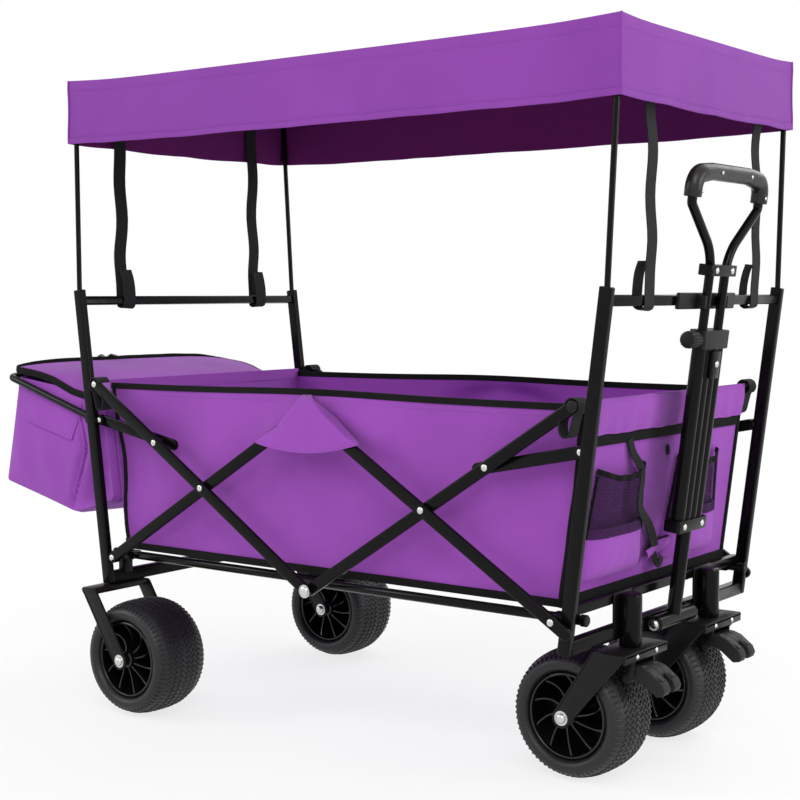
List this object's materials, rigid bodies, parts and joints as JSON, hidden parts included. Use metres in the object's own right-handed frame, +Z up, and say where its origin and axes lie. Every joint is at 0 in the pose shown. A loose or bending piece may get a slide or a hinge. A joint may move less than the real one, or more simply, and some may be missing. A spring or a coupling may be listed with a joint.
{
  "type": "folding wagon",
  "caption": "Folding wagon with a cloth tub, flat canopy, telescopic pull handle, swivel casters with brakes, and a lidded bag on the rear",
  "frame": {"origin": "on the floor, under the middle of the bounding box", "axes": "+X to the front, where the pull handle is; +Y to the far side in the picture; +Z up"},
  "size_m": [1.2118, 0.622, 0.9925],
  "materials": {
    "black_steel": "satin powder coat",
    "black_plastic": "fine grain",
    "black_rubber": "matt, fine tread",
    "purple_cloth": "woven polyester, matt",
    "black_webbing": "woven webbing, matt"
  },
  "bodies": {
    "front_frame": {"FrontPostNear": "black_steel", "FrontPostFar": "black_steel", "FrontTopRail": "black_steel", "FrontLowerCrossbar": "black_steel", "FrontUpperCrossbar": "black_steel", "HandleClip": "black_plastic", "FrontRodNear": "black_steel", "FrontRodFar": "black_steel", "Canopy": "purple_cloth", "FrontStrapNear": "black_webbing", "FrontStrapFar": "black_webbing", "TubFrontWall": "purple_cloth", "TubCloth": "purple_cloth"},
    "rear_frame": {"RearPostNear": "black_steel", "RearPostFar": "black_steel", "RearTopRail": "black_steel", "RearLowerCrossbar": "black_steel", "RearForkNear": "black_plastic", "RearForkFar": "black_plastic", "RearRodNear": "black_steel", "RearRodFar": "black_steel", "RearStrapNear": "black_webbing", "RearStrapFar": "black_webbing", "TubRearWall": "purple_cloth"},
    "front_a_near": {"FrontABarNear": "black_steel"},
    "rear_a_near": {"RearABarNear": "black_steel"},
    "front_b_near": {"FrontBBarNear": "black_steel"},
    "rear_b_near": {"RearBBarNear": "black_steel"},
    "front_link_near": {"FrontLinkNear": "black_steel"},
    "front_floor_near": {"FrontFloorBarNear": "black_steel"},
    "rear_link_near": {"RearLinkNear": "black_steel"},
    "rear_floor_near": {"RearFloorBarNear": "black_steel"},
    "front_a_far": {"FrontABarFar": "black_steel"},
    "rear_a_far": {"RearABarFar": "black_steel"},
    "front_b_far": {"FrontBBarFar": "black_steel"},
    "rear_b_far": {"RearBBarFar": "black_steel"},
    "front_link_far": {"FrontLinkFar": "black_steel"},
    "front_floor_far": {"FrontFloorBarFar": "black_steel"},
    "rear_link_far": {"RearLinkFar": "black_steel"},
    "rear_floor_far": {"RearFloorBarFar": "black_steel"},
    "caster_near": {"CasterForkNear": "black_plastic"},
    "front_wheel_near": {"FrontWheelNearTyre": "black_rubber", "FrontWheelNearRim": "black_plastic"},
    "rear_wheel_near": {"RearWheelNearTyre": "black_rubber", "RearWheelNearRim": "black_plastic"},
    "brake_near": {"BrakePedalNear": "black_plastic"},
    "caster_far": {"CasterForkFar": "black_plastic"},
    "front_wheel_far": {"FrontWheelFarTyre": "black_rubber", "FrontWheelFarRim": "black_plastic"},
    "rear_wheel_far": {"RearWheelFarTyre": "black_rubber", "RearWheelFarRim": "black_plastic"},
    "brake_far": {"BrakePedalFar": "black_plastic"},
    "handle": {"HandleLowerTube": "black_steel", "HandleCollar": "black_plastic"},
    "lock_knob": {"HandleLockKnob": "black_plastic"},
    "handle_slide": {"HandleLoop": "black_steel", "HandleGrip": "black_plastic"},
    "bag_frame": {"BagFrame": "black_steel", "BagBody": "purple_cloth"},
    "bag_lid": {"BagLid": "purple_cloth"}
  },
  "joints": [
    {"name": "fold", "type": "hinge", "parent": "front_frame", "child": "front_a_near", "pos_m": [0.48256, -0.2635, 0.2395], "axis": [0, 1, 0], "range_deg": [0, 47], "deforming": ["Canopy", "TubCloth"]},
    {"name": "rear_a_near", "type": "hinge", "parent": "front_a_near", "child": "rear_a_near", "pos_m": [0.07655, -0.2635, 0.4922], "axis": [0, 1, 0], "range_deg": [-94, 0]},
    {"name": "front_b_near", "type": "hinge", "parent": "front_a_near", "child": "front_b_near", "pos_m": [0.28015, -0.2635, 0.36548], "axis": [0, 1, 0], "range_deg": [-93.04, 0]},
    {"name": "rear_b_near", "type": "hinge", "parent": "rear_a_near", "child": "rear_b_near", "pos_m": [-0.12704, -0.2635, 0.36548], "axis": [0, 1, 0], "range_deg": [0, 93.04]},
    {"name": "rear_frame_foot", "type": "hinge", "parent": "rear_a_near", "child": "rear_frame", "pos_m": [-0.32944, -0.2635, 0.2395], "axis": [0, 1, 0], "range_deg": [0, 47]},
    {"name": "front_link_near", "type": "hinge", "parent": "front_frame", "child": "front_link_near", "pos_m": [0.51526, -0.2512, 0.4559], "axis": [0, 1, 0], "range_deg": [0, 77.85]},
    {"name": "front_floor_near", "type": "hinge", "parent": "front_frame", "child": "front_floor_near", "pos_m": [0.47006, -0.2375, 0.24], "axis": [0, 1, 0], "range_deg": [0, 84.6]},
    {"name": "front_a_far", "type": "hinge", "parent": "front_frame", "child": "front_a_far", "pos_m": [0.48256, 0.2635, 0.2395], "axis": [0, 1, 0], "range_deg": [0, 47]},
    {"name": "rear_a_far", "type": "hinge", "parent": "front_a_far", "child": "rear_a_far", "pos_m": [0.07655, 0.2635, 0.4922], "axis": [0, 1, 0], "range_deg": [-94, 0]},
    {"name": "front_b_far", "type": "hinge", "parent": "front_a_far", "child": "front_b_far", "pos_m": [0.28015, 0.2635, 0.36548], "axis": [0, 1, 0], "range_deg": [-93.04, 0]},
    {"name": "rear_b_far", "type": "hinge", "parent": "rear_a_far", "child": "rear_b_far", "pos_m": [-0.12704, 0.2635, 0.36548], "axis": [0, 1, 0], "range_deg": [0, 93.04]},
    {"name": "front_link_far", "type": "hinge", "parent": "front_frame", "child": "front_link_far", "pos_m": [0.51526, 0.2512, 0.4559], "axis": [0, 1, 0], "range_deg": [0, 77.85]},
    {"name": "front_floor_far", "type": "hinge", "parent": "front_frame", "child": "front_floor_far", "pos_m": [0.47006, 0.2375, 0.24], "axis": [0, 1, 0], "range_deg": [0, 84.6]},
    {"name": "rear_link_near", "type": "hinge", "parent": "rear_frame", "child": "rear_link_near", "pos_m": [-0.36214, -0.2512, 0.4559], "axis": [0, 1, 0], "range_deg": [-77.85, 0]},
    {"name": "rear_floor_near", "type": "hinge", "parent": "rear_frame", "child": "rear_floor_near", "pos_m": [-0.31694, -0.223, 0.24], "axis": [0, 1, 0], "range_deg": [-84.6, 0]},
    {"name": "rear_link_far", "type": "hinge", "parent": "rear_frame", "child": "rear_link_far", "pos_m": [-0.36214, 0.2512, 0.4559], "axis": [0, 1, 0], "range_deg": [-77.85, 0]},
    {"name": "rear_floor_far", "type": "hinge", "parent": "rear_frame", "child": "rear_floor_far", "pos_m": [-0.31694, 0.223, 0.24], "axis": [0, 1, 0], "range_deg": [-84.6, 0]},
    {"name": "caster_swivel_near", "type": "hinge", "parent": "front_frame", "child": "caster_near", "pos_m": [0.51355, -0.1175, 0.1857], "axis": [0, 0, 1], "continuous": true},
    {"name": "front_wheel_near", "type": "hinge", "parent": "caster_near", "child": "front_wheel_near", "pos_m": [0.44205, -0.1175, 0.0889], "axis": [0, 1, 0], "continuous": true},
    {"name": "rear_wheel_near", "type": "hinge", "parent": "rear_frame", "child": "rear_wheel_near", "pos_m": [-0.27444, -0.243, 0.0889], "axis": [0, 1, 0], "continuous": true},
    {"name": "brake_near", "type": "hinge", "parent": "caster_near", "child": "brake_near", "pos_m": [0.52855, -0.1175, 0.157], "axis": [0, 1, 0], "range_deg": [0, 18]},
    {"name": "caster_swivel_far", "type": "hinge", "parent": "front_frame", "child": "caster_far", "pos_m": [0.51355, 0.1175, 0.1857], "axis": [0, 0, 1], "continuous": true},
    {"name": "front_wheel_far", "type": "hinge", "parent": "caster_far", "child": "front_wheel_far", "pos_m": [0.44205, 0.1175, 0.0889], "axis": [0, 1, 0], "continuous": true},
    {"name": "rear_wheel_far", "type": "hinge", "parent": "rear_frame", "child": "rear_wheel_far", "pos_m": [-0.27444, 0.243, 0.0889], "axis": [0, 1, 0], "continuous": true},
    {"name": "brake_far", "type": "hinge", "parent": "caster_far", "child": "brake_far", "pos_m": [0.52855, 0.1175, 0.157], "axis": [0, 1, 0], "range_deg": [0, 18]},
    {"name": "handle_swing", "type": "hinge", "parent": "front_frame", "child": "handle", "pos_m": [0.51655, 0, 0.204], "axis": [0, 1, 0], "range_deg": [0, 78]},
    {"name": "telescope", "type": "slide", "parent": "handle", "child": "handle_slide", "axis": [0.1271, 0, 0.9919], "range_m": [0, 0.19]},
    {"name": "lock_knob", "type": "hinge", "parent": "handle", "child": "lock_knob", "pos_m": [0.5663, -0.0385, 0.59233], "axis": [0, 1, 0], "range_deg": [0, 90]},
    {"name": "bag_swing", "type": "hinge", "parent": "rear_frame", "child": "bag_frame", "pos_m": [-0.38644, 0, 0.4566], "axis": [0, -1, 0], "range_deg": [0, 100], "deforming": ["BagBody"]},
    {"name": "bag_lid", "type": "hinge", "parent": "bag_frame", "child": "bag_lid", "pos_m": [-0.36495, 0, 0.507], "axis": [0, 1, 0], "range_deg": [0, 50]}
  ],
  "couplings": [
    {"joint": "rear_a_near", "follows": "fold", "ratio": -2},
    {"joint": "front_b_near", "follows": "fold", "ratio": -1.9796},
    {"joint": "rear_b_near", "follows": "fold", "ratio": 1.9796},
    {"joint": "rear_frame_foot", "follows": "fold", "ratio": 1},
    {"joint": "front_link_near", "follows": "fold", "ratio": 1.6564},
    {"joint": "front_floor_near", "follows": "fold", "ratio": 1.8},
    {"joint": "front_a_far", "follows": "fold", "ratio": 1},
    {"joint": "rear_a_far", "follows": "fold", "ratio": -2},
    {"joint": "front_b_far", "follows": "fold", "ratio": -1.9796},
    {"joint": "rear_b_far", "follows": "fold", "ratio": 1.9796},
    {"joint": "front_link_far", "follows": "fold", "ratio": 1.6564},
    {"joint": "front_floor_far", "follows": "fold", "ratio": 1.8},
    {"joint": "rear_link_near", "follows": "fold", "ratio": -1.6564},
    {"joint": "rear_floor_near", "follows": "fold", "ratio": -1.8},
    {"joint": "rear_link_far", "follows": "fold", "ratio": -1.6564},
    {"joint": "rear_floor_far", "follows": "fold", "ratio": -1.8}
  ]
}
